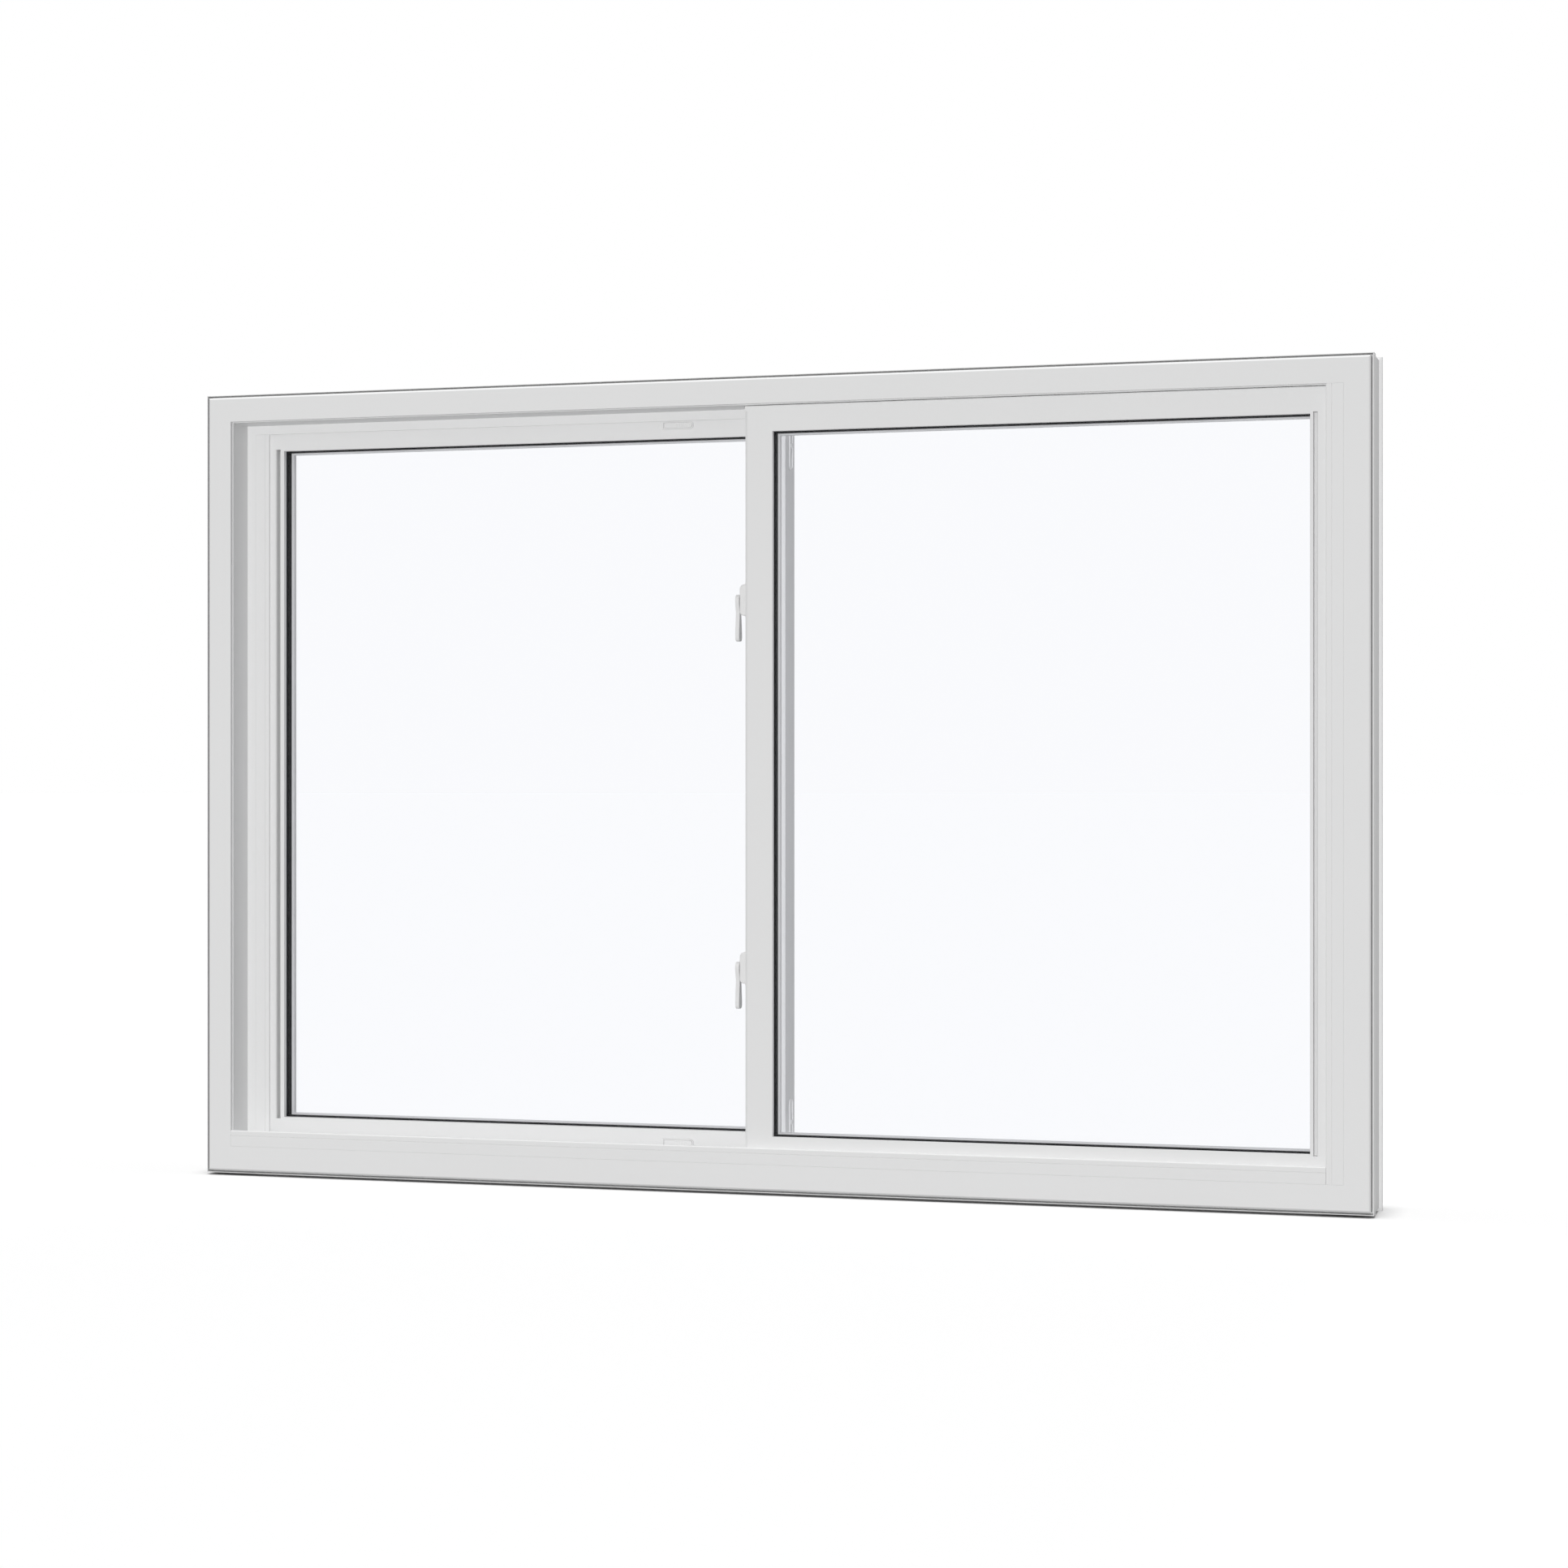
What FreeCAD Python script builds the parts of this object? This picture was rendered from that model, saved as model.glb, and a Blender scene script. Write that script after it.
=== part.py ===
import FreeCAD, Part
import math
import os
import re
import Sketcher

# Horizontal sliding window, room side towards -Y, outside towards +Y, millimetres.
# Origin: bottom centre of the frame's box. The right sash runs in the room-side track and the
# left sash in the outer track. Frame, sashes and glazing beads are rings of mitred profiles.

# Driving sizes
SIZES = {
    # frame box and the outer edge of its profile
    "overall_width": 1363.0,
    "overall_height": 919.0,
    "frame_depth": 88.0,
    "flange_reach": 2.5,
    "flange_depth": 6.0,
    "flange_setback": 18.0,
    "fin_thick": 1.0,
    "fin_front": 3.0,
    "fin_back": 20.0,
    "groove_width": 2.2,
    "groove_back": 17.0,
    "edge_chamfer": 1.8,
    # frame face, tracks and legs
    "face_width": 26.8,
    "reveal_step": 0.9,
    "step_depth": 5.0,
    "leg_thick": 2.0,
    "leg_reach": 10.5,
    "rear_leg_thick": 3.0,
    "support_front": 24.0,
    "support_width": 6.0,
    "support_setback": 60.0,
    "rib_width": 4.0,
    "rib_height": 2.0,
    "rib_setback": 20.0,
    # snap-in strips
    "strip_width": 18.6,
    "left_strip_width": 17.8,
    "strip_thick": 2.0,
    "strip_bead": 0.9,
    "strip_round": 1.3,
    "strip_line": 12.4,
    "strip_notch": 0.8,
    # sashes
    "sash_thick": 29.0,
    "sash_front": 8.2,
    "rear_clear": 5.0,
    "sash_gap": 5.0,
    "sash_chamfer": 2.2,
    "seal_gap": 0.5,
    "seal_lip": 3.0,
    "seal_chamfer": 1.0,
    "rail_width": 24.7,
    "meeting_width": 32.2,
    "pull_width": 30.1,
    "interior_reach": 18.4,
    "exterior_reach": 18.8,
    "exterior_offset": 8.6,
    "sash_leg": 6.2,
    "rebate_depth": 10.0,
    "lip_wall": 1.2,
    "interior_lip": 3.2,
    "interior_channel": 4.4,
    "interior_round": 1.0,
    "exterior_lip": 4.8,
    "exterior_channel": 5.0,
    "exterior_round": 3.0,
    "channel_depth": 11.0,
    "channel_over": 2.0,
    "fin_gap": 5.0,
    "overlap_fin_thick": 2.0,
    # glass units and the beads that hold them from outside
    "pane_thick": 3.0,
    "cavity": 9.5,
    "glass_clear": 0.6,
    "spacer_sight": 1.1,
    "rear_lip": 2.8,
    "bead_flat": 5.5,
    "bead_drop": 1.2,
    # rollers
    "roller_groove_width": 11.0,
    "roller_groove_depth": 10.0,
    "roller_length": 34.0,
    "roller_inset": 90.0,
    "roller_fit": 0.3,
    "wheel_radius": 5.5,
    "wheel_width": 5.0,
    # sash locks and keepers
    "lock_level": 206.7,
    "lock_length": 38.5,
    "lock_width": 20.0,
    "lock_flange": 1.6,
    "lock_corner": 4.0,
    "case_foot": 36.0,
    "case_top": 34.0,
    "case_width": 15.0,
    "case_height": 8.5,
    "case_round": 5.0,
    "case_edge": 1.5,
    "lever_gap": 0.8,
    "lever_thick": 4.8,
    "lever_length": 46.4,
    "hub_radius": 6.5,
    "hub_drop": 2.5,
    "hub_round": 6.0,
    "neck_half": 3.2,
    "neck_level": 14.0,
    "neck_round": 14.0,
    "tip_half": 6.0,
    "tip_rise": 9.0,
    "tip_round": 4.5,
    "spindle_radius": 3.0,
    "spindle_fit": 0.06,
    "spindle_depth": 6.0,
    "keeper_length": 38.0,
    "keeper_height": 8.0,
    "keeper_mouth": 19.0,
    "keeper_wall": 3.0,
    "keeper_round": 2.0,
    # slotted end plates on the outer sash's meeting stile
    "plate_length": 40.0,
    "plate_width": 12.5,
    "plate_thick": 1.5,
    "plate_inset": 23.3,
    "plate_offset": 1.8,
    "plate_round": 6.2,
    "plate_slot_width": 9.5,
    "plate_slot_end": 1.5,
    # vent latches on the outer sash's rails
    "vent_length": 41.5,
    "vent_height": 9.0,
    "vent_proud": 2.0,
    "vent_wall": 1.2,
    "vent_fit": 0.4,
    "vent_reach": 113.0,
    "vent_level": 9.8,
    "tab_setback": 5.7,
    "grip_start": 14.0,
    "grip_pitch": 3.0,
    "grip_width": 1.4,
    "grip_height": 3.4,
    "grip_proud": 0.4,
}
GRIP_RIBS = 6

# Places worked out from the driving sizes, as expressions on their names
BODY_SIDE = "(flange_reach + fin_thick)"
GROOVE_FLOOR = f"({BODY_SIDE} + groove_width)"
REVEAL = f"({GROOVE_FLOOR} + edge_chamfer + face_width)"
TRACK = f"({REVEAL} + reveal_step)"
LEG_EDGE = f"({TRACK} + leg_reach)"
SASH_EDGE = f"({TRACK} + sash_gap)"
FRONT = "(-frame_depth / 2)"
SASH_SPACE = "(frame_depth - sash_front - 2 * sash_thick - rear_clear - rear_leg_thick)"
PARTING_CLEAR = f"(({SASH_SPACE} - leg_thick) / 2)"
PARTING_FRONT = f"(sash_front + sash_thick + {PARTING_CLEAR})"
INTERIOR_FRONT = f"({FRONT} + sash_front)"
EXTERIOR_FRONT = f"({INTERIOR_FRONT} + sash_thick + {SASH_SPACE})"
SASH_LOW = SASH_EDGE
SASH_HIGH = f"(overall_height - {SASH_EDGE})"
MID_HEIGHT = "(overall_height / 2)"
REAR_GLASS = "(sash_leg + 2 * pane_thick + cavity)"
LEVER_STAND = "(case_height + lever_gap)"
TAB_THICK = "(vent_proud - vent_fit)"

FACING = {"bottom": 0, "top": 180, "left": 90, "right": -90}
# The neighbours at the start and at the end of each side of a ring
NEIGHBOURS = {"bottom": ("left", "right"), "top": ("right", "left"),
              "left": ("top", "bottom"), "right": ("bottom", "top")}
ALONG = FreeCAD.Vector(1, 0, 0)
ACROSS = FreeCAD.Vector(0, 1, 0)
UP = FreeCAD.Vector(0, 0, 1)
TOLERANCE = 0.01

doc = FreeCAD.newDocument("sliding_window")
nodes = []


def size(text):
    """Turn plain size names into references to the sheet."""
    return re.sub(r"[a-z]\w+", lambda name: "Sizes." + name.group(), text)


def fill_sheet():
    sheet = doc.addObject("Spreadsheet::Sheet", "Sizes")
    for row, (name, value) in enumerate(SIZES.items(), start=1):
        sheet.set(f"A{row}", name)
        sheet.set(f"B{row}", str(value))
        sheet.setAlias(f"B{row}", name)
    doc.recompute()


def bind(thing, **properties):
    for name, text in properties.items():
        thing.setExpression(name, size(text))


def place(thing, x, y, z, turn=0, axis=ACROSS):
    """Stand a piece at a point, turned about an axis."""
    thing.Placement = FreeCAD.Placement(FreeCAD.Vector(), FreeCAD.Rotation(axis, turn))
    for direction, text in zip("xyz", (x, y, z)):
        thing.setExpression(f"Placement.Base.{direction}", size(text))


def node(thing, label):
    thing.Label = label
    nodes.append(thing)


def new_body(label):
    body = doc.addObject("PartDesign::Body", label)
    node(body, label)
    return body


def new_sketch(body, plane):
    sketch = body.newObject("Sketcher::SketchObject", f"{body.Name}_sketch")
    support = next(item for item in body.Origin.OriginFeatures if item.Role == plane)
    sketch.AttachmentSupport = (support, [""])
    sketch.MapMode = "FlatFace"
    return sketch


def pin_point(sketch, geometry, end, x, y):
    """Hold a point of the sketch at two size expressions from its origin."""
    now = sketch.getPoint(geometry, end)
    for kind, text, value in (("DistanceX", x, now.x), ("DistanceY", y, now.y)):
        index = sketch.addConstraint(Sketcher.Constraint(kind, -1, 1, geometry, end, value))
        sketch.setExpression(f"Constraints[{index}]", size(text))


def join(sketch, geometry, after):
    sketch.addConstraint(Sketcher.Constraint("Coincident", geometry, 2, after, 1))


def polygon(body, plane, *outlines):
    """Closed outlines in one sketch; each corner is a pair of size expressions."""
    sketch = new_sketch(body, plane)
    for corners in outlines:
        count = len(corners)
        first = sketch.GeometryCount
        angles = [2 * math.pi * index / count for index in range(count)]
        ring = [FreeCAD.Vector(math.cos(angle), math.sin(angle), 0) for angle in angles]
        for index in range(count):
            sketch.addGeometry(Part.LineSegment(ring[index], ring[(index + 1) % count]))
        for index, (x, y) in enumerate(corners):
            join(sketch, first + index, first + (index + 1) % count)
            pin_point(sketch, first + index, 1, x, y)
    return sketch


def box_corners(x_low, x_high, y_low, y_high):
    return [(x_low, y_low), (x_high, y_low), (x_high, y_high), (x_low, y_high)]


def rectangle(body, plane, x_low, x_high, y_low, y_high):
    return polygon(body, plane, box_corners(x_low, x_high, y_low, y_high))


def circle(body, plane, radius):
    sketch = new_sketch(body, plane)
    sketch.addGeometry(Part.Circle(FreeCAD.Vector(), UP, 1))
    sketch.addConstraint(Sketcher.Constraint("Coincident", 0, 3, -1, 1))
    index = sketch.addConstraint(Sketcher.Constraint("Radius", 0, 1))
    sketch.setExpression(f"Constraints[{index}]", size(radius))
    return sketch


def tongue(body, plane, low, high, radius, round_low=False):
    """An outline along the sketch's X axis, with a round end at high, and at low if asked."""
    sketch = new_sketch(body, plane)
    quarter = math.pi / 2
    for side, start, end in ((1, high, low), (-1, low, high)):
        line = sketch.addGeometry(Part.LineSegment(FreeCAD.Vector(2 * side, side, 0),
                                                   FreeCAD.Vector(-2 * side, side, 0)))
        level = radius if side > 0 else f"-{radius}"
        pin_point(sketch, line, 1, start, level)
        pin_point(sketch, line, 2, end, level)
    ends = [(1, 1, 0)]
    if round_low:
        ends.append((-1, 0, 1))
    else:
        closing = sketch.addGeometry(Part.LineSegment(FreeCAD.Vector(-2, 1, 0), FreeCAD.Vector(-2, -1, 0)))
        join(sketch, 0, closing)
        join(sketch, closing, 1)
    for side, before, after in ends:
        ring = Part.Circle(FreeCAD.Vector(2 * side, 0, 0), UP, 1)
        arc = sketch.addGeometry(Part.ArcOfCircle(ring, -side * quarter, (2 - side) * quarter))
        join(sketch, before, arc)
        join(sketch, arc, after)
        sketch.addConstraint(Sketcher.Constraint("Vertical", arc, 3, arc, 1))
    return sketch


def pad(body, sketch, length, sides="One side", back=False):
    feature = body.newObject("PartDesign::Pad", f"{body.Name}_pad")
    feature.Profile = sketch
    feature.SideType = sides
    feature.Reversed = back
    bind(feature, Length=length)


def solid_volume(body):
    doc.recompute()
    return body.Shape.Volume


def pocket(body, sketch, length=None):
    """Cut a sketch into its body, away from the sketch's normal, or right through both ways."""
    before = solid_volume(body)
    feature = body.newObject("PartDesign::Pocket", f"{body.Name}_pocket")
    feature.Profile = sketch
    if length is None:
        feature.Type = "ThroughAll"
        feature.SideType = "Symmetric"
    else:
        bind(feature, Length=length)
    if solid_volume(body) >= before:
        raise RuntimeError(f"a cut in {body.Label} removes nothing")


def round_edges(body, radius, axis, chosen):
    """Round the straight edges along an axis whose box passes a test."""
    doc.recompute()
    base = body.Tip
    names = [f"Edge{index}" for index, edge in enumerate(base.Shape.Edges, start=1)
             if lies_along(edge, axis) and chosen(edge.BoundBox)]
    feature = body.newObject("PartDesign::Fillet", f"{body.Name}_round")
    feature.Base = (base, names)
    bind(feature, Radius=radius)


def lies_along(edge, axis):
    return isinstance(edge.Curve, Part.Line) and abs(edge.Curve.Direction.dot(axis)) > 1 - 1e-6


def block(label, x, y, z, length, width, height):
    box = doc.addObject("Part::Box", label)
    bind(box, Length=length, Width=width, Height=height)
    place(box, x, y, z)
    return box


# Rings of mitred members
def ring_of(left, right, low, high, front, widths):
    """A rectangle seen from the room, with the width of the member on each side."""
    return {"left": left, "right": right, "low": low, "high": high, "front": front, "widths": widths,
            "wide": f"({right} - {left})", "tall": f"({high} - {low})",
            "middle": f"(({left} + {right}) / 2)", "level": f"(({low} + {high}) / 2)"}


def ring_member(label, side, ring, profile):
    """One side of a ring: a profile of depths and inward heights, mitred from corner to corner."""
    body = new_body(label)
    length = ring["wide"] if side in ("top", "bottom") else ring["tall"]
    pad(body, polygon(body, "YZ_Plane", profile), length, "Symmetric")
    own = ring["widths"][side]
    for sign, neighbour in zip(("-", ""), NEIGHBOURS[side]):
        tip = f"{sign}{length} / 2"
        corner = f"{sign}({length} / 2 - {ring['widths'][neighbour]})"
        pocket(body, polygon(body, "XZ_Plane", [(tip, "0"), (tip, own), (corner, own)]))
    x = {"left": ring["left"], "right": ring["right"]}.get(side, ring["middle"])
    z = {"bottom": ring["low"], "top": ring["high"]}.get(side, ring["level"])
    place(body, x, ring["front"], z, FACING[side])
    return body


# Frame
def frame_profile():
    """The profile's corners, from the back over the flange and the fin to the face and the legs."""
    flange_back = "frame_depth - flange_setback"
    flange_front = f"{flange_back} - flange_depth"
    parting_back = f"{PARTING_FRONT} + leg_thick"
    rear_leg_front = "frame_depth - rear_leg_thick"
    return [
        ("frame_depth", BODY_SIDE), (flange_back, BODY_SIDE), (flange_back, "0"),
        (flange_front, "0"), (flange_front, BODY_SIDE), ("fin_back", BODY_SIDE),
        ("fin_back", "flange_reach"), ("fin_front", "flange_reach"), ("fin_front", BODY_SIDE),
        ("groove_back", BODY_SIDE), ("groove_back", GROOVE_FLOOR),
        ("edge_chamfer", GROOVE_FLOOR), ("0", f"{GROOVE_FLOOR} + edge_chamfer"),
        ("0", REVEAL), ("step_depth", REVEAL), ("step_depth", TRACK),
        (PARTING_FRONT, TRACK), (PARTING_FRONT, LEG_EDGE),
        (parting_back, LEG_EDGE), (parting_back, TRACK),
        (rear_leg_front, TRACK), (rear_leg_front, LEG_EDGE), ("frame_depth", LEG_EDGE),
    ]


def frame():
    ring = ring_of("(-overall_width / 2)", "(overall_width / 2)", "0", "overall_height", FRONT,
                   dict.fromkeys(FACING, LEG_EDGE))
    ring_member("frame_head", "top", ring, frame_profile())
    ring_member("frame_jamb_left", "left", ring, frame_profile())
    ring_member("frame_jamb_right", "right", ring, frame_profile())
    sill = ring_member("frame_sill", "bottom", ring, frame_profile())
    support = rectangle(sill, "YZ_Plane", "support_front", "support_front + support_width", "0", BODY_SIDE)
    pad(sill, support, "overall_width - 2 * support_setback", "Symmetric")
    for sash_front in ("sash_front", f"(sash_front + sash_thick + {SASH_SPACE})"):
        middle = f"{sash_front} + sash_thick / 2"
        rib = rectangle(sill, "YZ_Plane", f"{middle} - rib_width / 2", f"{middle} + rib_width / 2",
                        TRACK, f"{TRACK} + rib_height")
        pad(sill, rib, f"overall_width - 2 * ({TRACK} + rib_setback)", "Symmetric")


def strip_profile(width):
    """A thin wall with a fine groove on its face and a thicker bead along its free edge."""
    lip = "(strip_thick + strip_bead)"
    return [
        ("0", "0"), ("0", "strip_line - strip_notch / 2"), ("strip_notch", "strip_line"),
        ("0", "strip_line + strip_notch / 2"), ("0", width), (lip, width), (lip, f"{width} - {lip}"),
        ("strip_thick", f"{width} - {lip} - strip_bead"), ("strip_thick", "0"),
    ]


def strip(label, side, length, width, x, y, z):
    body = new_body(label)
    pad(body, polygon(body, "YZ_Plane", strip_profile(width)), length, "Symmetric")
    round_edges(body, "strip_round", ALONG, lambda box: box.ZMin > SIZES[width] - TOLERANCE)
    place(body, x, y, z, FACING[side])


def strips():
    dam_left = f"({REVEAL} - overall_width / 2)"
    dam_right = f"(overall_width / 2 - {REVEAL} - strip_width)"
    strip("sill_dam", "bottom", f"({dam_right} - {dam_left})", "strip_width",
          f"({dam_left} + {dam_right}) / 2", FRONT, REVEAL)
    strip("jamb_strip_right", "right", f"(overall_height - 2 * {REVEAL})", "strip_width",
          f"overall_width / 2 - {REVEAL}", FRONT, MID_HEIGHT)
    strip("jamb_strip_left", "left", f"(overall_height - 2 * {LEG_EDGE})", "left_strip_width",
          f"{LEG_EDGE} - overall_width / 2", f"{FRONT} + {PARTING_FRONT}", MID_HEIGHT)


# Sashes
def sash_profile(width, rebate, lip=None):
    """A chamfered room face with its glazing leg, and a rebate that is open to the outside."""
    floor = f"{width} - {rebate}"
    chamfer = f"sash_chamfer * {width} / rail_width"
    face = [("0", width), ("sash_leg", width), ("sash_leg", floor),
            ("sash_thick", floor), ("sash_thick", "0")]
    if lip is None:
        return [("sash_chamfer", "0"), ("0", chamfer)] + face
    return [("seal_lip", f"-{lip}"), ("seal_chamfer", f"-{lip}"), ("0", f"seal_chamfer - {lip}")] + face + [
        ("seal_lip", "0")]


def bead_profile(width):
    """A glazing bead that slopes away from the glass, behind the outer pane."""
    slope = f"bead_drop * {width} / (rebate_depth + rear_lip)"
    return [(REAR_GLASS, "0"), (REAR_GLASS, width), (f"{REAR_GLASS} + bead_flat", width),
            ("sash_thick", f"{width} - {slope}"), ("sash_thick", "0")]


def roller_groove(rail):
    low = "(sash_thick - roller_groove_width) / 2"
    high = "(sash_thick + roller_groove_width) / 2"
    pocket(rail, rectangle(rail, "YZ_Plane", low, high, "0", "roller_groove_depth"))


def finger_channel(name, stile, tall):
    """A stopped channel in the room face, beside the glazing leg."""
    inner = f"(pull_width - {name}_lip)"
    outer = f"({inner} - {name}_channel)"
    half = f"({tall} / 2 - rail_width + channel_over)"
    pocket(stile, rectangle(stile, "XZ_Plane", f"-{half}", half, outer, inner), "channel_depth")
    outer_edge = SIZES["pull_width"] - SIZES[f"{name}_lip"] - SIZES[f"{name}_channel"]
    round_edges(stile, f"{name}_round", ALONG,
                lambda box: box.YMax < TOLERANCE and abs(box.ZMax - outer_edge) < TOLERANCE)


def overlap_fin(stile, tall, y_low, y_high):
    """A thin fin along the outer edge that closes the space between the two sashes."""
    fin = rectangle(stile, "YZ_Plane", y_low, y_high, "0", "overlap_fin_thick")
    pad(stile, fin, f"{tall} - 2 * (leg_reach - sash_gap + fin_gap)", "Symmetric")


def glass_unit(name, seat, opening):
    """Two panes that fill the rebates less their clearance, with a spacer ring between them."""
    left = f"({seat['left']} + glass_clear)"
    low = f"({seat['low']} + glass_clear)"
    wide = f"({seat['wide']} - 2 * glass_clear)"
    tall = f"({seat['tall']} - 2 * glass_clear)"
    room_pane = f"{seat['front']} + sash_leg"
    gap = f"{room_pane} + pane_thick"
    for pane, front in (("room", room_pane), ("outside", f"{gap} + cavity")):
        label = f"{name}_pane_{pane}"
        node(block(label, left, front, low, wide, "pane_thick", tall), label)
    ring = doc.addObject("Part::Cut", f"{name}_spacer")
    ring.Base = block(f"{name}_spacer_outer", left, gap, low, wide, "cavity", tall)
    ring.Tool = block(f"{name}_spacer_inner", f"{opening['left']} + spacer_sight", gap,
                      f"{opening['low']} + spacer_sight", f"{opening['wide']} - 2 * spacer_sight", "cavity",
                      f"{opening['tall']} - 2 * spacer_sight")
    node(ring, f"{name}_spacer")


def rollers(name, sash):
    """Two roller units in the bottom rail's groove, their wheels on the sill's rib."""
    units = []
    slim = "(roller_groove_width - 2 * roller_fit)"
    middle = f"({sash['front']} + sash_thick / 2)"
    axle = f"{TRACK} + rib_height + roller_fit + wheel_radius"
    for end, x in (("left", f"({sash['left']} + roller_inset)"),
                   ("right", f"({sash['right']} - roller_inset)")):
        housing = block(f"{name}_roller_housing_{end}", f"{x} - roller_length / 2", f"{middle} - {slim} / 2",
                        SASH_LOW, "roller_length", slim, "roller_groove_depth - roller_fit")
        wheel = doc.addObject("Part::Cylinder", f"{name}_roller_wheel_{end}")
        bind(wheel, Radius="wheel_radius", Height="wheel_width")
        place(wheel, x, f"{middle} - wheel_width / 2", axle, -90, ALONG)
        unit = doc.addObject("Part::Fuse", f"{name}_roller_{end}")
        unit.Base = housing
        unit.Tool = wheel
        units.append(unit)
    pair = doc.addObject("Part::Compound", f"{name}_rollers")
    pair.Links = units
    node(pair, f"{name}_rollers")


def inside(ring, insets, widths):
    """The ring that starts an inset further in on each side."""
    return ring_of(f"({ring['left']} + {insets['left']})", f"({ring['right']} - {insets['right']})",
                   f"({ring['low']} + {insets['bottom']})", f"({ring['high']} - {insets['top']})",
                   ring["front"], widths)


def sash(name, left, right, front, roles, lip=None):
    """A glazed sash; roles says which stile is on the left and which on the right."""
    roles = {"top": "top", "bottom": "bottom", **roles}
    widths = {side: "rail_width" if side == role else f"{role}_width" for side, role in roles.items()}
    pull_rebate = f"({name}_lip - lip_wall)"
    rebates = {side: pull_rebate if role == "pull" else "rebate_depth" for side, role in roles.items()}
    beads = {side: f"({rebate} + rear_lip)" for side, rebate in rebates.items()}
    ring = ring_of(left, right, SASH_LOW, SASH_HIGH, front, widths)
    floors = {side: f"({widths[side]} - {rebates[side]})" for side in roles}
    seat = inside(ring, floors, beads)
    members = {}
    for side, role in roles.items():
        kind = "rail" if side == role else "stile"
        profile = sash_profile(widths[side], rebates[side], lip if side == "top" else None)
        members[role] = ring_member(f"{name}_{role}_{kind}", side, ring, profile)
        ring_member(f"{name}_{role}_bead", side, seat, bead_profile(beads[side]))
    roller_groove(members["bottom"])
    finger_channel(name, members["pull"], ring["tall"])
    glass_unit(name, seat, inside(ring, widths, widths))
    rollers(name, ring)
    return members["meeting"], ring["tall"]


def sashes():
    stile, tall = sash("interior", "-interior_reach", f"(overall_width / 2 - {SASH_EDGE})", INTERIOR_FRONT,
                       {"left": "meeting", "right": "pull"}, "(sash_gap - seal_gap)")
    overlap_fin(stile, tall, "sash_thick", f"sash_thick + {PARTING_CLEAR}")
    stile, tall = sash("exterior", f"({SASH_EDGE} + exterior_offset - overall_width / 2)", "exterior_reach",
                       EXTERIOR_FRONT, {"left": "pull", "right": "meeting"})
    overlap_fin(stile, tall, f"-({PARTING_CLEAR} + leg_thick)", "sash_chamfer")


# Locks on the room-side sash, keepers and plates on the outer sash
def lock_base(label, x, y, z):
    """A flange with round corners under a case with sloping ends, bored for the spindle."""
    body = new_body(label)
    flange = rectangle(body, "YZ_Plane", "-lock_width / 2", "lock_width / 2",
                       "-lock_length / 2", "lock_length / 2")
    pad(body, flange, "lock_flange", back=True)
    round_edges(body, "lock_corner", ALONG, lambda box: True)
    case = [("0", "-case_foot / 2"), ("-case_height", "-case_top / 2"),
            ("-case_height", "case_top / 2"), ("0", "case_foot / 2")]
    pad(body, polygon(body, "XZ_Plane", case), "case_width", "Symmetric")
    outer_face = TOLERANCE - SIZES["case_height"]
    round_edges(body, "case_round", ACROSS, lambda box: box.XMax < outer_face)
    round_edges(body, "case_edge", UP, lambda box: box.XMax < outer_face)
    pocket(body, circle(body, "YZ_Plane", "spindle_radius + spindle_fit"))
    place(body, x, y, z)


def lock_lever(label, x, y, z):
    """A flat lever that narrows below its hub and flares to its tip, on a spindle."""
    body = new_body(label)
    right_side = [("hub_radius", "hub_radius"), ("hub_radius", "-hub_drop"), ("neck_half", "-neck_level"),
                  ("tip_half", "tip_rise - lever_length"), ("tip_half", "-lever_length")]
    left_side = [(f"-{across}", up) for across, up in reversed(right_side)]
    pad(body, polygon(body, "YZ_Plane", right_side + left_side), "lever_thick")
    top = SIZES["hub_radius"] - TOLERANCE
    bottom = TOLERANCE - SIZES["lever_length"]
    round_edges(body, "hub_round", ALONG, lambda box: box.ZMin > top)
    round_edges(body, "tip_round", ALONG, lambda box: box.ZMax < bottom)
    waist = (bottom + SIZES["tip_round"], -SIZES["hub_drop"] + TOLERANCE)
    round_edges(body, "neck_round", ALONG, lambda box: waist[0] < box.ZMin < waist[1])
    pad(body, circle(body, "YZ_Plane", "spindle_radius"), "lever_thick + lever_gap + spindle_depth")
    place(body, x, y, z)


def keeper(label, x, y, z):
    """A block on the stile's side with a mouth for the lock's cam."""
    body = new_body(label)
    block_outline = rectangle(body, "XY_Plane", "-keeper_height", "0", "0", "sash_leg")
    pad(body, block_outline, "keeper_length", "Symmetric")
    mouth = rectangle(body, "YZ_Plane", "0", "sash_leg - keeper_wall",
                      "-keeper_mouth / 2", "keeper_mouth / 2")
    pocket(body, mouth, "keeper_height - keeper_wall")
    outer_face = TOLERANCE - SIZES["keeper_height"]
    round_edges(body, "keeper_round", ACROSS, lambda box: box.XMax < outer_face)
    place(body, x, y, z)


def end_plate(label, x, y, z, turn):
    """A plate with a round inner end and a slot that runs out at its outer end."""
    body = new_body(label)
    outline = rectangle(body, "XY_Plane", "-plate_length", "0", "-plate_width / 2", "plate_width / 2")
    pad(body, outline, "plate_thick", back=turn < 0)
    round_edges(body, "plate_round", UP, lambda box: box.XMin > -TOLERANCE)
    radius = "(plate_slot_width / 2)"
    slot = tongue(body, "XY_Plane", "-(plate_length + plate_slot_end)",
                  f"-(plate_slot_end + {radius})", radius)
    pocket(body, slot)
    place(body, x, y, z, turn)


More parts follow.
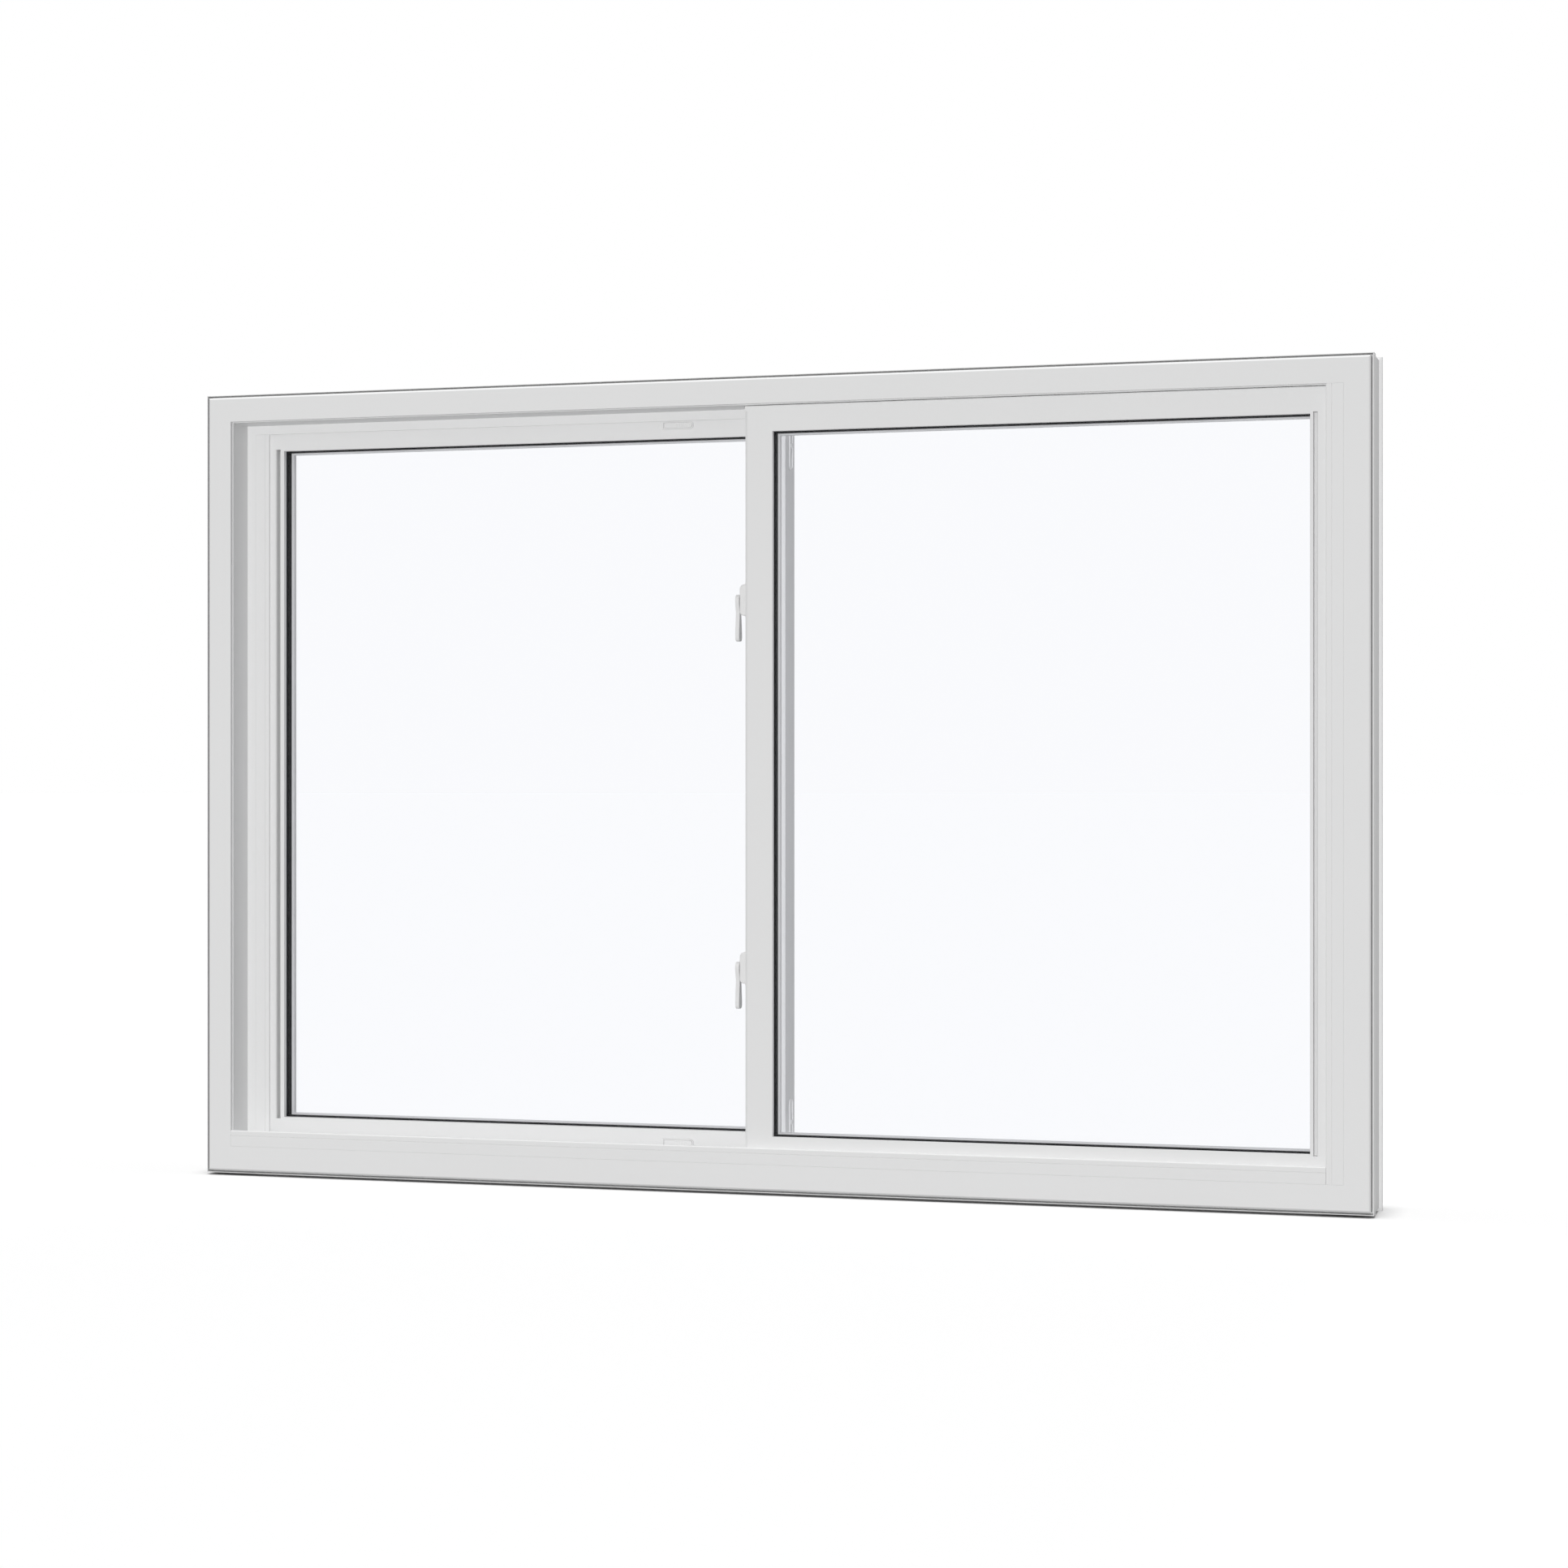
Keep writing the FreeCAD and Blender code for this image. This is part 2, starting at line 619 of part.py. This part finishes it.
def vent_latch(level, x, z):
    """A round-ended housing on the rail's face, with a ribbed tab that swings out of its window."""
    half_span = "((vent_length - vent_height) / 2)"
    window_low = "(tab_setback - vent_length / 2)"
    window = "(vent_height / 2 - vent_wall)"
    housing = new_body(f"vent_housing_{level}")
    outline = tongue(housing, "XZ_Plane", f"-{half_span}", half_span, "(vent_height / 2)", True)
    pad(housing, outline, "vent_proud")
    pocket(housing, tongue(housing, "XZ_Plane", window_low, half_span, window))
    place(housing, x, EXTERIOR_FRONT, z)
    pivot = f"({window_low} + vent_fit + {TAB_THICK} / 2)"
    half_height = f"({window} - vent_fit)"
    tab = new_body(f"vent_tab_{level}")
    pad(tab, tongue(tab, "XZ_Plane", "0", f"({half_span} - {pivot})", half_height), TAB_THICK, "Symmetric")
    pad(tab, circle(tab, "XY_Plane", f"{TAB_THICK} / 2"), f"2 * {half_height}", "Symmetric")
    starts = [f"(grip_start + {index} * grip_pitch)" for index in range(GRIP_RIBS)]
    ribs = [box_corners(start, f"{start} + grip_width", "-grip_height / 2", "grip_height / 2")
            for start in starts]
    pad(tab, polygon(tab, "XZ_Plane", *ribs), f"{TAB_THICK} / 2 + grip_proud")
    place(tab, f"{x} + {pivot}", f"{EXTERIOR_FRONT} - vent_fit - {TAB_THICK} / 2", z)


def hardware():
    lock_depth = f"({INTERIOR_FRONT} + sash_thick / 2)"
    plate_depth = f"{EXTERIOR_FRONT} + sash_thick / 2 - plate_offset"
    for level, sign, edge, turn in (("upper", "+", f"{SASH_HIGH} -", 90),
                                    ("lower", "-", f"{SASH_LOW} +", -90)):
        z = f"{MID_HEIGHT} {sign} lock_level"
        lock_base(f"lock_base_{level}", "-interior_reach", lock_depth, z)
        lock_lever(f"lock_lever_{level}", f"-interior_reach - {LEVER_STAND} - lever_thick", lock_depth, z)
        keeper(f"keeper_{level}", "exterior_reach - meeting_width", EXTERIOR_FRONT, z)
        end_plate(f"end_plate_{level}", "exterior_reach", plate_depth,
                  f"{edge} (plate_inset + plate_length)", turn)
        vent_latch(level, "-vent_reach", f"{edge} vent_level")


def check_and_write():
    doc.recompute()
    failed = [thing.Name for thing in doc.Objects if {"Invalid", "Error"} & set(thing.State)]
    failed += [thing.Label for thing in nodes if thing.Shape.isNull() or not thing.Shape.isValid()]
    if failed:
        raise RuntimeError("failed pieces: " + ", ".join(failed))
    os.makedirs("parts", exist_ok=True)
    for thing in nodes:
        thing.Shape.exportStep(f"parts/{thing.Label}.step")


fill_sheet()
frame()
strips()
sashes()
hardware()
check_and_write()
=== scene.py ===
import math

import bmesh
import bpy
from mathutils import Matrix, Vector


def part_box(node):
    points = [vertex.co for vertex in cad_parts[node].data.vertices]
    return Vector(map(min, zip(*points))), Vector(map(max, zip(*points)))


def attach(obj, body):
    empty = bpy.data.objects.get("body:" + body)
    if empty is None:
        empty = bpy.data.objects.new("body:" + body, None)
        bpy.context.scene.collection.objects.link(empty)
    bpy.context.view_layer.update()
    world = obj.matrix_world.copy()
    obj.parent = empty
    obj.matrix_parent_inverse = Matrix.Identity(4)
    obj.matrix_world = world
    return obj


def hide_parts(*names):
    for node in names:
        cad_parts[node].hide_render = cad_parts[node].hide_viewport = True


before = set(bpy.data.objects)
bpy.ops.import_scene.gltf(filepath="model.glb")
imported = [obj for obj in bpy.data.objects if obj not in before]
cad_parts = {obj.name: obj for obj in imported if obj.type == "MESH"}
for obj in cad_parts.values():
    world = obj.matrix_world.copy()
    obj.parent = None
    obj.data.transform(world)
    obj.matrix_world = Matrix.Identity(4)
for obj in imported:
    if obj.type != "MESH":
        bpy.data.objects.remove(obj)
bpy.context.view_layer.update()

MM = 0.001
LEVELS = ("upper", "lower")
SASHES = ("interior", "exterior")

# Softened edges in metres, and what tells a sharp edge, a flat face and a mitre
WELD = 0.002 * MM
VINYL_EDGE = 0.35 * MM
SMALL_EDGE = 0.25 * MM
TINY_EDGE = 0.12 * MM
LEVER_EDGE = 0.8 * MM
GLASS_EDGE = 0.4 * MM
EDGE_STEPS = 2
SHARP_ANGLE = math.radians(30)
FLAT_ANGLE = math.radians(0.2)
MITRE_FLAT = 0.01
MITRE_SLANT = 0.3

# Small pieces in millimetres; a turned head is pairs of radius and height
TURNED_SIDES = 32
SCREW_HEAD = ((3.4, 0.0), (3.4, 0.7), (3.1, 1.2), (2.4, 1.65), (1.4, 1.9), (0.4, 2.0))
SCREW_UP = 12.5
CROSS_REACH = 2.1
CROSS_WIDTH = 0.75
CROSS_DEPTH = 0.9
RIVET = ((2.6, 0.0), (2.6, 0.35), (2.1, 0.75), (1.2, 0.95), (0.3, 1.0))
BLOCK_WIDTH = 9.0
BLOCK_PROUD = 0.8
BLOCK_LENGTH = 24.0
BLOCK_RAMP = 3.5
PILE_INSET = 2.5
PILE_STEP = 4.0
PILE_GAP = 0.7
PILE_BACKING = (2.0, 0.7)
PILE_ROOT = (1.3, 0.8)
PILE_WAIST = 1.1
PILE_WAIST_SHARE = 0.6
PILE_TIP = 0.5
PILE_EVEN = 0.94
PILE_WAVES = (2.4, 0.7)
REAR_LEG = 3.0

# Finishes: colours, and grain scales in lines or spots per metre
DIE_LINES = 1100
DIE_DRAG = 3
VINYL_PEEL = 420.0
VINYL_CLOUDS = 5.0
VINYL_DEEP = (0.843, 0.845, 0.846, 1.0)
VINYL_PALE = (0.868, 0.869, 0.869, 1.0)
MOULD_CLOUDS = 30.0
NYLON_PALE = (0.80, 0.80, 0.78, 1.0)
NYLON_DEEP = (0.72, 0.72, 0.70, 1.0)
NYLON_GRAIN = 1400.0
PLATE_GRAIN = 2200.0
LATCH_GRAIN = 2600.0
PAINT_PEEL = 900.0
PAINT_CLOUDS = 45.0
GLASS_TINT = (0.988, 0.990, 0.996, 1.0)
GLASS_GLOSS = (0.95, 0.95, 0.96, 1.0)
MIRROR_STRAIGHT = 0.010
MIRROR_EDGE_ON = 0.9
MIRROR_POWER = 5.0
SPACER_BLACK = (0.018, 0.0185, 0.020, 1.0)
HOLE_BLACK = (0.006, 0.006, 0.007, 1.0)
HOLE_PITCH = 5 * MM
HOLE_ROWS = 6 * MM
HOLE_RADIUS = 0.55 * MM
SPACER_GRAIN = 700.0
FIBRE_GRAIN = (4000, 300, 900)
TUFT_GRAIN = 260.0

# The photograph's camera
VIEW_TURN = math.radians(16.3)
CAMERA_PLACE = (1.0190, -3.427, 0.4595)
SENSOR = 36.0
PHOTO_WIDTH = 1932
FOCAL_PIXELS = 3898

# Light, as the brightness that a white matt surface shows: towards each lamp, its softness in
# degrees and whether it throws shadows. The front lamp throws none, because the photograph's light
# reaches into the recesses. The soft edges of the level lamps add a little grazing light on the floor.
AMBIENT = 0.42
LAMPS = {
    "front": ((0.0, -0.467, 0.0), 8, False),
    "back": ((0.0, 0.66, 0.0), 10, True),
    "top": ((0.0, -0.008, 0.58), 4, True),
}
GRAZING = 0.014
FLOOR_LIGHT = AMBIENT + GRAZING + sum(max(towards[2], 0.0) for towards, _, _ in LAMPS.values())
FLOOR_SEEN = 1.0
FLOOR_BOUNCE = 0.27
FLOOR_HALF = 150.0


class Wire:
    """A shader socket: arithmetic on it adds Math nodes, and add() makes any other node."""

    def __init__(self, tree, socket=None):
        self.tree = tree
        self.socket = socket

    def add(self, kind, settings=None, inputs=None, output=0):
        node = self.tree.nodes.new(kind)
        for name, value in (settings or {}).items():
            setattr(node, name, value)
        for name, value in (inputs or {}).items():
            if isinstance(value, Wire):
                self.tree.links.new(value.socket, node.inputs[name])
            else:
                node.inputs[name].default_value = value
        return Wire(self.tree, node.outputs[output] if node.outputs else None)

    def maths(self, operation, *values):
        return self.add("ShaderNodeMath", {"operation": operation}, dict(enumerate(values)))

    def __add__(self, other):
        return self.maths("ADD", self, other)

    def __radd__(self, other):
        return self.maths("ADD", other, self)

    def __sub__(self, other):
        return self.maths("SUBTRACT", self, other)

    def __rsub__(self, other):
        return self.maths("SUBTRACT", other, self)

    def __mul__(self, other):
        return self.maths("MULTIPLY", self, other)

    def __rmul__(self, other):
        return self.maths("MULTIPLY", other, self)

    def __pow__(self, other):
        return self.maths("POWER", self, other)

    def __rpow__(self, other):
        return self.maths("POWER", other, self)

    def __lt__(self, other):
        return self.maths("LESS_THAN", self, other)

    def __gt__(self, other):
        return self.maths("GREATER_THAN", self, other)

    def most(self, other):
        return self.maths("MAXIMUM", self, other)

    def back_and_forth(self, length):
        return self.maths("PINGPONG", self, length)

    def colour_between(self, low, high):
        return self.add("ShaderNodeMix", {"data_type": "RGBA"}, {0: self, 6: low, 7: high}, output=2)

    def noise(self, place, scale, detail=2.0):
        return self.add("ShaderNodeTexNoise",
                        inputs={"Vector": place, "Scale": scale, "Detail": detail})

    def stretched(self, place, stretch):
        return self.add("ShaderNodeVectorMath", {"operation": "MULTIPLY"}, {0: place, 1: stretch})

    def along(self, place, axis):
        return self.add("ShaderNodeSeparateXYZ", inputs={"Vector": place}, output=axis)

    def bump(self, height, strength, distance):
        return self.add("ShaderNodeBump",
                        inputs={"Strength": strength, "Distance": distance, "Height": height})

    def surface(self, **inputs):
        named = {name.replace("_", " "): value for name, value in inputs.items()}
        return self.add("ShaderNodeBsdfPrincipled", inputs=named)


def new_material(name):
    material = bpy.data.materials.new(name)
    material.use_nodes = True
    material.node_tree.nodes.clear()
    return material, Wire(material.node_tree)


def rest_place(wire):
    return wire.add("ShaderNodeTexCoord", output="Object")


def show(wire, shader):
    wire.add("ShaderNodeOutputMaterial", inputs={"Surface": shader})


def grey(value):
    return (value, value, value, 1.0)


# Materials
def vinyl(name, stretch):
    """Extruded satin vinyl: faint die lines along the member, soft orange peel, a little unevenness."""
    material, wire = new_material(name)
    place = rest_place(wire)
    die = wire.noise(wire.stretched(place, stretch), 1.0)
    peel = wire.noise(place, VINYL_PEEL)
    clouds = wire.noise(place, VINYL_CLOUDS, 3.0)
    show(wire, wire.surface(
        Base_Color=(0.8 * clouds + 0.2 * die).colour_between(VINYL_DEEP, VINYL_PALE),
        Roughness=0.34 + 0.10 * peel + 0.06 * clouds, Specular_IOR_Level=0.42,
        Normal=wire.bump(0.7 * die + 0.3 * peel, 0.10, 0.25 * MM)))
    return material


def moulded(name, pale, deep, roughness, grain):
    """Moulded plastic with a fine sparked grain."""
    material, wire = new_material(name)
    place = rest_place(wire)
    sparks = wire.noise(place, grain)
    clouds = wire.noise(place, MOULD_CLOUDS)
    show(wire, wire.surface(
        Base_Color=(0.6 * clouds + 0.4 * sparks).colour_between(deep, pale),
        Roughness=roughness + 0.12 * sparks, Normal=wire.bump(sparks, 0.18, 0.2 * MM)))
    return material


def painted(name, pale, deep):
    """Powder paint on a die casting: a soft orange peel under a thin gloss."""
    material, wire = new_material(name)
    place = rest_place(wire)
    peel = wire.noise(place, PAINT_PEEL, 1.0)
    clouds = wire.noise(place, PAINT_CLOUDS)
    show(wire, wire.surface(
        Base_Color=clouds.colour_between(deep, pale), Roughness=0.26 + 0.14 * peel,
        Coat_Weight=0.15, Coat_Roughness=0.2, Normal=wire.bump(peel, 0.12, 0.2 * MM)))
    return material


def pane_glass(name):
    """Clear float glass: what is behind shows with a faint cool tint, under a plain mirror gloss."""
    material, wire = new_material(name)
    clear = wire.add("ShaderNodeBsdfTransparent", inputs={"Color": GLASS_TINT})
    gloss = wire.surface(Base_Color=GLASS_GLOSS, Metallic=1.0, Roughness=0.015)
    edge_on = wire.add("ShaderNodeLayerWeight", inputs={"Blend": 0.5}, output="Facing")
    mirror = MIRROR_STRAIGHT + MIRROR_EDGE_ON * edge_on ** MIRROR_POWER
    show(wire, wire.add("ShaderNodeMixShader", inputs={0: mirror, 1: clear, 2: gloss}))
    return material


def spacer_bar(name):
    """Matt black spacer with two rows of fine breathing holes on its inner faces."""
    material, wire = new_material(name)
    place = rest_place(wire)
    run = wire.along(place, 0) + wire.along(place, 2)
    step = run.back_and_forth(HOLE_PITCH / 2)
    row = wire.along(place, 1).back_and_forth(HOLE_ROWS / 2)
    hole = (step * step + row * row) < HOLE_RADIUS ** 2
    grain = wire.noise(place, SPACER_GRAIN)
    show(wire, wire.surface(
        Base_Color=(0.7 * hole + 0.3 * grain).colour_between(SPACER_BLACK, HOLE_BLACK),
        Roughness=0.6 + 0.2 * grain, Specular_IOR_Level=0.06,
        Normal=wire.bump(grain - hole, 0.3, 0.3 * MM)))
    return material


def pile_fibre(name):
    """Grey woven pile: fine upright fibres in tufts."""
    material, wire = new_material(name)
    place = rest_place(wire)
    fibres = wire.noise(wire.stretched(place, FIBRE_GRAIN), 1.0)
    tufts = wire.noise(place, TUFT_GRAIN)
    show(wire, wire.surface(
        Base_Color=(0.6 * fibres + 0.4 * tufts).colour_between(grey(0.16), grey(0.42)),
        Roughness=0.82 + 0.15 * fibres, Normal=wire.bump(fibres + 0.6 * tufts, 0.6, 0.6 * MM)))
    return material


def seen_ray(wire):
    camera, glossy, through = (wire.add("ShaderNodeLightPath", output=f"Is {kind} Ray")
                               for kind in ("Camera", "Glossy", "Transmission"))
    return camera.most(glossy).most(through)


def floor_paint(name):
    """A pale floor that shows as white and throws back less light than it shows."""
    material, wire = new_material(name)
    colour = seen_ray(wire).colour_between(grey(FLOOR_BOUNCE / FLOOR_LIGHT),
                                           grey(FLOOR_SEEN / FLOOR_LIGHT))
    show(wire, wire.add("ShaderNodeBsdfDiffuse", inputs={"Color": colour}))
    return material


# Pieces
def is_mitre(face):
    """Whether a face is a member's end, which meets the next member."""
    across, depth, up = (abs(part) for part in face.normal)
    return depth < MITRE_FLAT and min(across, up) > MITRE_SLANT


def softened(mesh, mitred):
    """Join split corners, clear the edges inside flat faces and mark the sharp ones, but no mitre."""
    form = bmesh.new()
    form.from_mesh(mesh)
    bmesh.ops.remove_doubles(form, verts=form.verts, dist=WELD)
    bmesh.ops.dissolve_limit(form, angle_limit=FLAT_ANGLE, verts=form.verts, edges=form.edges)
    form.normal_update()
    mark = form.edges.layers.float.new("bevel_weight_edge")
    for edge in form.edges:
        at_mitre = mitred and any(is_mitre(face) for face in edge.link_faces)
        edge[mark] = float(edge.calc_face_angle(0.0) > SHARP_ANGLE and not at_mitre)
        edge.smooth = not at_mitre
    form.to_mesh(mesh)
    form.free()
    return mesh


def add_piece(name, mesh, body, material, edge, mitred=False):
    """A piece with softened edges that rides on a body."""
    piece = bpy.data.objects.new(name, softened(mesh, mitred))
    bpy.context.scene.collection.objects.link(piece)
    mesh.materials.clear()
    mesh.materials.append(material)
    mesh.polygons.foreach_set("use_smooth", [True] * len(mesh.polygons))
    soften = piece.modifiers.new("soft edges", "BEVEL")
    soften.width = edge
    soften.segments = EDGE_STEPS
    soften.limit_method = "WEIGHT"
    flatten = piece.modifiers.new("flat faces", "WEIGHTED_NORMAL")
    flatten.keep_sharp = True
    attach(piece, body)
    return piece


def finished(node, body, material, edge, mitred=False):
    """A softened piece that stands for a CAD node."""
    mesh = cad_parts[node].data.copy()
    piece = add_piece(f"{node}_finished", mesh, body, material, edge, mitred)
    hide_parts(node)


def solid(rings, place):
    """A closed mesh about a place from equal rings of points in millimetres, with its ends capped."""
    form = bmesh.new()
    rows = [[form.verts.new(Vector(place) + MM * Vector(point)) for point in ring] for ring in rings]
    for lower, upper in zip(rows, rows[1:]):
        for index in range(len(lower)):
            form.faces.new((lower[index - 1], lower[index], upper[index], upper[index - 1]))
    form.faces.new(rows[0])
    form.faces.new(rows[-1])
    bmesh.ops.recalc_face_normals(form, faces=form.faces)
    mesh = bpy.data.meshes.new("blank")
    form.to_mesh(mesh)
    form.free()
    return mesh


def turned(profile, place, side):
    """A turned solid about X from pairs of radius and height, standing out to one side."""
    turns = [2 * math.pi * index / TURNED_SIDES for index in range(TURNED_SIDES)]
    return solid([[(side * height, radius * math.cos(turn), radius * math.sin(turn))
                   for turn in turns] for radius, height in profile], place)


def cross_cut(mesh, place, crown):
    """A turned head with a cross recess in its crown."""
    head = bpy.data.objects.new("blank", mesh)
    half = CROSS_WIDTH / 2
    cutters = []
    for wide, tall in ((CROSS_REACH, half), (half, CROSS_REACH)):
        ring = ((-wide, -tall), (wide, -tall), (wide, tall), (-wide, tall))
        bar = solid([[(out, across, up) for across, up in ring]
                     for out in (crown - CROSS_DEPTH, crown + CROSS_DEPTH)], place)
        cutters.append(bpy.data.objects.new("blank", bar))
    for thing in (head, *cutters):
        bpy.context.scene.collection.objects.link(thing)
    for cutter in cutters:
        cut = head.modifiers.new("cross", "BOOLEAN")
        cut.operation = "DIFFERENCE"
        cut.solver = "EXACT"
        cut.object = cutter
    depsgraph = bpy.context.evaluated_depsgraph_get()
    carved = bpy.data.meshes.new_from_object(head.evaluated_get(depsgraph))
    for thing in (head, *cutters):
        bpy.data.objects.remove(thing)
    return carved


def brush(start, end, outward, height):
    """A pile strip along a member's back: a woven backing and tufts of uneven height."""
    run = Vector(end) - Vector(start)
    steps = round(run.length / (PILE_STEP * MM))
    quick, slow = PILE_WAVES
    rings = []
    for step in range(steps + 1):
        along = Vector(start) + run * step / steps
        uneven = (1 - PILE_EVEN) * math.sin(quick * step) * math.cos(slow * step)
        right = [(PILE_BACKING[0], 0.0), PILE_BACKING, PILE_ROOT,
                 (PILE_WAIST, PILE_WAIST_SHARE * height), (PILE_TIP, height * (PILE_EVEN + uneven))]
        left = [(-across, up) for across, up in reversed(right)]
        rings.append([along / MM + across * Vector(outward) + Vector((0, up, 0))
                      for across, up in right + left])
    return solid(rings, (0, 0, 0))


def dress_seals(name, pile, stop):
    """Pile on the back of the rails and the pull stile, which brushes the leg behind the sash."""
    low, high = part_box(f"{name}_pull_stile")
    rail_low, rail_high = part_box(f"{name}_bottom_rail")
    back = high[1]
    height = (stop - back) / MM - PILE_GAP
    inset = PILE_INSET * MM
    side = low[0] + inset if name == "exterior" else high[0] - inset
    left, right = rail_low[0] + 2 * inset, rail_high[0] - 2 * inset
    bottom, top = low[2] + inset, high[2] - inset
    for label, start, end, outward in (
            ("bottom", (left, back, bottom), (right, back, bottom), (0, 0, 1)),
            ("top", (left, back, top), (right, back, top), (0, 0, 1)),
            ("pull", (side, back, bottom + 2 * inset), (side, back, top - 2 * inset), (1, 0, 0))):
        add_piece(f"{name}_{label}_pile", brush(start, end, outward, height), f"{name}_sash",
                  pile, TINY_EDGE)


def dress_plates(plate, steel):
    """A ramped block held by a screw in the slot of each end plate."""
    side = ((0, 0), (BLOCK_PROUD, 0), (BLOCK_PROUD, BLOCK_LENGTH - BLOCK_RAMP), (0, BLOCK_LENGTH))
    for level, inward in (("upper", -1), ("lower", 1)):
        low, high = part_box(f"end_plate_{level}")
        middle = (low[1] + high[1]) / 2
        outer_end = low[2] if inward > 0 else high[2]
        block = solid([[(out, across, inward * up) for out, up in side]
                       for across in (-BLOCK_WIDTH / 2, BLOCK_WIDTH / 2)], (low[0], middle, outer_end))
        add_piece(f"plate_block_{level}", block, "exterior_sash", plate, TINY_EDGE)
        seat = (low[0] + BLOCK_PROUD * MM, middle, outer_end + inward * SCREW_UP * MM)
        head = cross_cut(turned(SCREW_HEAD, seat, 1), seat, SCREW_HEAD[-1][1])
        add_piece(f"plate_screw_{level}", head, "exterior_sash", steel, TINY_EDGE)


def dress_rivets(paint):
    """A rivet head on the outer face of each lever, over its spindle."""
    for level in LEVELS:
        low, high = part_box(f"lock_lever_{level}")
        base_low, base_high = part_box(f"lock_base_{level}")
        place = (low[0], (low[1] + high[1]) / 2, (base_low[2] + base_high[2]) / 2)
        add_piece(f"lever_rivet_{level}", turned(RIVET, place, -1), f"lock_lever_{level}",
                  paint, TINY_EDGE)


def dress_frame(upright, lying):
    for member, material in (("head", lying), ("sill", lying),
                             ("jamb_left", upright), ("jamb_right", upright)):
        finished(f"frame_{member}", "frame", material, VINYL_EDGE, mitred=True)
    for strip, material in (("sill_dam", lying), ("jamb_strip_left", upright),
                            ("jamb_strip_right", upright)):
        finished(strip, "frame", material, SMALL_EDGE)


def dress_sash(name, upright, lying, glass, spacer, nylon):
    body = f"{name}_sash"
    for member, kind, material in (("top", "rail", lying), ("bottom", "rail", lying),
                                   ("meeting", "stile", upright), ("pull", "stile", upright)):
        finished(f"{name}_{member}_{kind}", body, material, VINYL_EDGE, mitred=True)
        finished(f"{name}_{member}_bead", body, material, SMALL_EDGE, mitred=True)
    for pane in ("pane_room", "pane_outside"):
        finished(f"{name}_{pane}", body, glass, GLASS_EDGE)
    finished(f"{name}_spacer", body, spacer, SMALL_EDGE)
    finished(f"{name}_rollers", body, nylon, SMALL_EDGE)


def dress_hardware(paint, plate, latch):
    for level in LEVELS:
        lever, tab = f"lock_lever_{level}", f"vent_tab_{level}"
        finished(f"lock_base_{level}", "interior_sash", paint, SMALL_EDGE)
        finished(lever, lever, paint, LEVER_EDGE)
        finished(f"keeper_{level}", "exterior_sash", paint, SMALL_EDGE)
        finished(f"end_plate_{level}", "exterior_sash", plate, SMALL_EDGE)
        finished(f"vent_housing_{level}", "exterior_sash", latch, SMALL_EDGE)
        finished(tab, tab, latch, SMALL_EDGE)


# Stage
def lay_floor():
    form = bmesh.new()
    bmesh.ops.create_grid(form, x_segments=1, y_segments=1, size=FLOOR_HALF)
    mesh = bpy.data.meshes.new("floor")
    form.to_mesh(mesh)
    form.free()
    mesh.materials.append(floor_paint("floor_paint"))
    floor = bpy.data.objects.new("floor", mesh)
    bpy.context.scene.collection.objects.link(floor)


def set_light():
    world = bpy.data.worlds.new("studio")
    world.use_nodes = True
    world.node_tree.nodes.clear()
    wire = Wire(world.node_tree)
    colour = seen_ray(wire).colour_between(grey(AMBIENT), grey(1.0))
    sky = wire.add("ShaderNodeBackground", inputs={"Color": colour, "Strength": 1.0})
    wire.add("ShaderNodeOutputWorld", inputs={"Surface": sky})
    bpy.context.scene.world = world

    for name, (towards, softness, shadows) in LAMPS.items():
        direction = Vector(towards)
        lamp = bpy.data.lights.new(name, "SUN")
        lamp.energy = math.pi * direction.length
        lamp.angle = math.radians(softness)
        lamp.use_shadow = shadows
        holder = bpy.data.objects.new(name, lamp)
        holder.rotation_euler = direction.to_track_quat("Z", "Y").to_euler()
        holder.visible_glossy = False
        bpy.context.scene.collection.objects.link(holder)


def set_camera():
    lens = bpy.data.cameras.new("photo_view")
    lens.sensor_width = SENSOR
    lens.lens = SENSOR * FOCAL_PIXELS / PHOTO_WIDTH
    lens.clip_end = 2 * FLOOR_HALF
    camera = bpy.data.objects.new("photo_view", lens)
    camera.location = CAMERA_PLACE
    camera.rotation_euler = (math.pi / 2, 0, VIEW_TURN)
    bpy.context.scene.collection.objects.link(camera)
    bpy.context.scene.camera = camera
    bpy.context.scene.view_settings.view_transform = "Standard"


vinyl_upright = vinyl("vinyl_upright", (DIE_LINES, DIE_LINES, DIE_DRAG))
vinyl_lying = vinyl("vinyl_level", (DIE_DRAG, DIE_LINES, DIE_LINES))
dress_frame(vinyl_upright, vinyl_lying)
glass = pane_glass("pane_glass")
spacer = spacer_bar("spacer_black")
nylon = moulded("nylon", NYLON_PALE, NYLON_DEEP, 0.40, NYLON_GRAIN)
for sash in SASHES:
    dress_sash(sash, vinyl_upright, vinyl_lying, glass, spacer, nylon)
paint = painted("lock_paint", grey(0.865), grey(0.845))
plate = moulded("plate_plastic", grey(0.86), grey(0.83), 0.38, PLATE_GRAIN)
latch = moulded("latch_plastic", grey(0.862), grey(0.838), 0.34, LATCH_GRAIN)
dress_hardware(paint, plate, latch)
dress_rivets(paint)
dress_plates(plate, painted("screw_white", grey(0.80), grey(0.74)))
pile = pile_fibre("pile_grey")
parting_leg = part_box("jamb_strip_left")[0][1]
rear_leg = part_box("frame_sill")[1][1] - REAR_LEG * MM
dress_seals("interior", pile, parting_leg)
dress_seals("exterior", pile, rear_leg)
lay_floor()
set_light()
set_camera()
